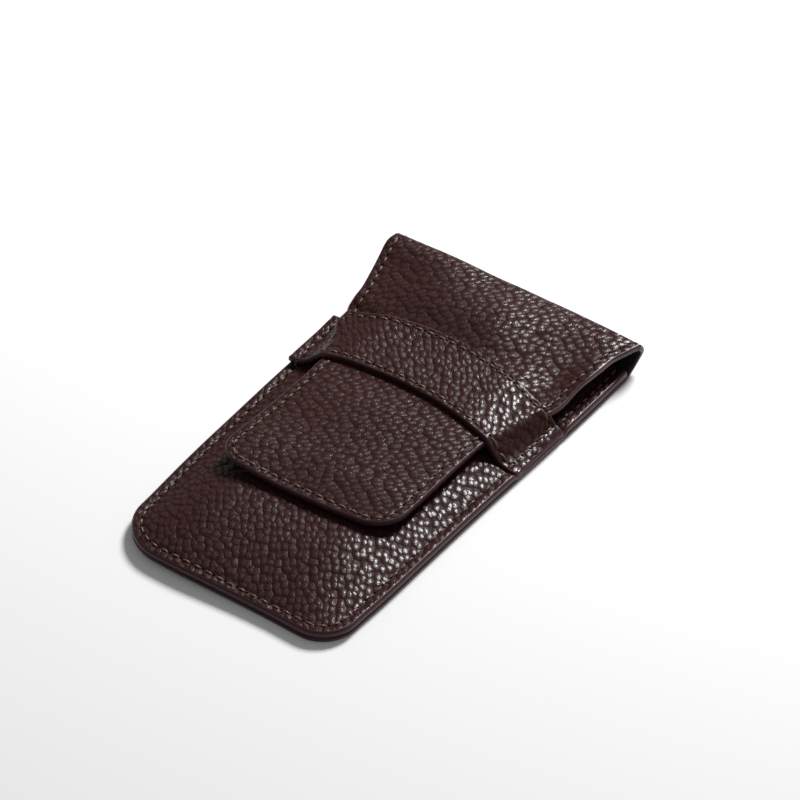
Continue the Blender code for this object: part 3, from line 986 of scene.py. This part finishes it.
# A dull brown that changes slowly along the row, with a fine slanting twist
thread = new_material("twisted_polyester_thread")
thread_place = add_node(thread, "ShaderNodeTexCoord")
thread_tone = add_node(thread, "ShaderNodeTexNoise",
                       {"Scale": 1 / (THREAD_TONE_MM * MM), "Detail": 1.0},
                       [("Vector", thread_place, "Object")])
thread_colour = add_node(thread, "ShaderNodeMix",
                         {"data_type": "RGBA", 6: THREAD_DARK, 7: THREAD_LIGHT},
                         [(0, thread_tone, 0)])
twist = add_node(thread, "ShaderNodeTexWave",
                 {"wave_type": "BANDS", "bands_direction": "DIAGONAL",
                  "Scale": wave_scale(TWIST_MM)},
                 [("Vector", thread_place, "Object")])
twist_bump = add_node(thread, "ShaderNodeBump",
                      {"Strength": 0.5, "Distance": TWIST_RELIEF_MM * MM},
                      [("Height", twist, 1)])
thread_shader = add_node(thread, "ShaderNodeBsdfPrincipled", {"Roughness": 0.5},
                         [("Base Color", thread_colour, 2), ("Normal", twist_bump, 0)])
add_node(thread, "ShaderNodeOutputMaterial", links=[("Surface", thread_shader, 0)])

# Painted shade of the needle holes: a low, flattened, nearly black and dull ball on the leather
hole_shade = new_material("painted_needle_hole_shade")
hole_shade_place = add_node(hole_shade, "ShaderNodeTexCoord")
hole_shade_tone = add_node(hole_shade, "ShaderNodeTexNoise", {"Scale": 1 / (HOLE_SHADE_TONE_MM * MM)},
                     [("Vector", hole_shade_place, "Object")])
hole_shade_colour = add_node(hole_shade, "ShaderNodeMix",
                       {"data_type": "RGBA", 6: HOLE_SHADE_DARK, 7: HOLE_SHADE_LIGHT},
                       [(0, hole_shade_tone, 0)])
hole_shade_shader = add_node(hole_shade, "ShaderNodeBsdfPrincipled",
                       {"Roughness": 1.0, "Specular IOR Level": 0.0},
                       [("Base Color", hole_shade_colour, 2)])
add_node(hole_shade, "ShaderNodeOutputMaterial", links=[("Surface", hole_shade_shader, 0)])

# One ball, which every stitch and hole is a stretched copy of
bpy.ops.object.select_all(action="DESELECT")
bpy.ops.mesh.primitive_uv_sphere_add(segments=8, ring_count=6, radius=1)
ball = bpy.context.object
ball_points = np.array([v.co for v in ball.data.vertices])
ball_faces = [list(face.vertices) for face in ball.data.polygons]
bpy.data.objects.remove(ball)

SEARCH_REACH = 6
LINE_POINTS = 80
CORNER_POINTS = 20
DOWN = (0, 0, -1)
UP = (0, 0, 1)


def touch(pieces, start, way):
    """The first place and outward side that a straight line meets on any of the pieces."""
    hits = [piece.ray_cast(Vector(start) * MM, Vector(way)) for piece in pieces]
    hits = [(np.array(place) / MM, np.array(side)) for found, place, side, _ in hits if found]
    return min(hits, key=lambda hit: np.linalg.norm(hit[0] - start))


def sew(name, pieces, line, way, body=None, blend=None):
    """A row of stitches where a line, moved along way, meets the pieces. way is one direction,
    or one for each point of the line. The row rides on a body, or stays in place if given a
    blend."""
    line = np.asarray(line, float)
    ways = np.broadcast_to(np.asarray(way, float), line.shape)
    lengths = np.concatenate([[0], np.cumsum(np.linalg.norm(np.diff(line, axis=0), axis=1))])
    count = round(lengths[-1] / STITCH_PITCH)
    pitch = lengths[-1] / count

    def spot(length):
        """The place on the leather and its outward side, at a length along the line."""
        at = np.array([np.interp(length, lengths, line[:, k]) for k in range(3)])
        direction = np.array([np.interp(length, lengths, ways[:, k]) for k in range(3)])
        return touch(pieces, at - direction * SEARCH_REACH, direction)

    points, faces, materials = [], [], []

    def add_ball(middle, run, lift, width, height, sink, material):
        """A ball stretched along run and across it, whose ends sink into the leather."""
        side = np.cross(lift, run)
        side = side / np.linalg.norm(side) * width / 2
        x, y, z = ball_points.T
        upwards = y * height / 2 - z * z * sink
        shape = middle + np.outer(z, run) + np.outer(x, side) + np.outer(upwards, lift)
        faces.extend([i + len(points) * len(ball_points) for i in face] for face in ball_faces)
        materials.extend([material] * len(ball_faces))
        points.append(shape)

    for k in range(count):
        middle, lift = spot((k + 0.5) * pitch)
        start, end = [spot((k + 0.5) * pitch + half * STITCH_LENGTH / 2)[0] for half in (-1, 1)]
        centre = (start + middle * 2 + end) / 4 + lift * THREAD_LIFT
        add_ball(centre, (end - start) / 2, lift, THREAD_WIDTH, THREAD_WIDTH, THREAD_DIVE, 0)
    # At each needle hole, a flat dark patch of painted shade
    for k in range(count + 1):
        middle, lift = spot(min(max(k * pitch, 0.01), lengths[-1] - 0.01))
        near = spot(min(max(k * pitch, 0.01), lengths[-1] - 0.3) + 0.25)[0]
        run = (near - middle) / np.linalg.norm(near - middle) * HOLE_HALF_LENGTH
        add_ball(middle, run, lift, HOLE_WIDTH, HOLE_HEIGHT, 0.0, 1)
    mesh = bpy.data.meshes.new(name)
    mesh.from_pydata(np.concatenate(points) * MM, [], faces)
    row = bpy.data.objects.new(name, mesh)
    bpy.context.scene.collection.objects.link(row)
    mesh.materials.append(thread)
    mesh.materials.append(hole_shade)
    mesh.polygons.foreach_set("material_index", materials)
    use(row)
    face_outwards()
    bpy.ops.object.shade_smooth()
    if blend:
        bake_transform(row)
    else:
        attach(row, body)


def u_line(half_at, inset, corner_at, foot_y, top_y, z):
    """A line at an inset from a U-shaped outline, from the top right round to the top left."""
    halves = []
    for side in (1, -1):
        corner = float(corner_at(side))
        ys = np.linspace(top_y, foot_y + corner, LINE_POINTS)
        straight = np.stack([side * (half_at(side, ys) - inset), ys], 1)
        turn = np.linspace(0, np.pi / 2, CORNER_POINTS)[1:]
        middle_x = float(half_at(side, foot_y + corner)) - corner
        arc = np.stack([side * (middle_x + (corner - inset) * np.cos(turn)),
                        foot_y + corner - (corner - inset) * np.sin(turn)], 1)
        halves.append(np.concatenate([straight, arc]))
    line = np.concatenate([halves[0], halves[1][::-1]])
    return np.concatenate([line, np.full((len(line), 1), float(z))], 1)


# Seam round the pocket, seen on the front panel and the band's ends, and on the back
seam_line = u_line(straight_half, SEAM_INSET, body_corner, -HALF_LENGTH, FRONT_END - 0.6, z=6)
seam_line[:, 1] += skew(seam_line[:, 0], seam_line[:, 1])
sew("seam_stitches", [front, band], seam_line, DOWN, "pouch")
sew("back_seam_stitches", [back_piece], seam_line * (1, 1, 0), UP, "pouch")

# Row round the flap and the tongue, on the grained side and on the lining
flap_line = u_line(straight_flap_half, FLAP_SEAM, tip_corner, TIP_Y, FLAP_START - 1.5, z=10)
sew("flap_stitches", [flap_piece], flap_line, DOWN, "flap")
sew("flap_lining_stitches", [flap_lining], flap_line * (1, 1, 0.3), UP, "flap")

# The same row round the fold's two sides, along the fold's curve
fold_rows = np.arange(fold_from + 1, flap_from)
for side_name, side in (("left_fold_stitches", -1), ("right_fold_stitches", 1)):
    fold_shares = np.full(len(fold_rows), side * (1 - FLAP_SEAM / FOLD_HALF))
    fold_line, _, _, fold_ways = outer_surface(fold_shares, fold_rows)
    fold_ways = fold_ways / np.linalg.norm(fold_ways, axis=1)[:, None]
    sew(side_name, [fold_piece], fold_line, fold_ways, blend=FOLD_BLEND)

# Rows along the band's two edges
BAND_SEAM = 1.75
for edge_name, edge_y, inwards in (("band_upper_stitches", BAND_UPPER, -BAND_SEAM),
                                   ("band_lower_stitches", BAND_LOWER, BAND_SEAM)):
    shares = np.linspace(-0.9, 0.9, LINE_POINTS)
    ys = curve_at(edge_y, shares) + inwards
    xs = shares * straight_half(shares, ys)
    sew(edge_name, [band], np.stack([xs, ys, 0 * xs + 12], 1), DOWN, "pouch")
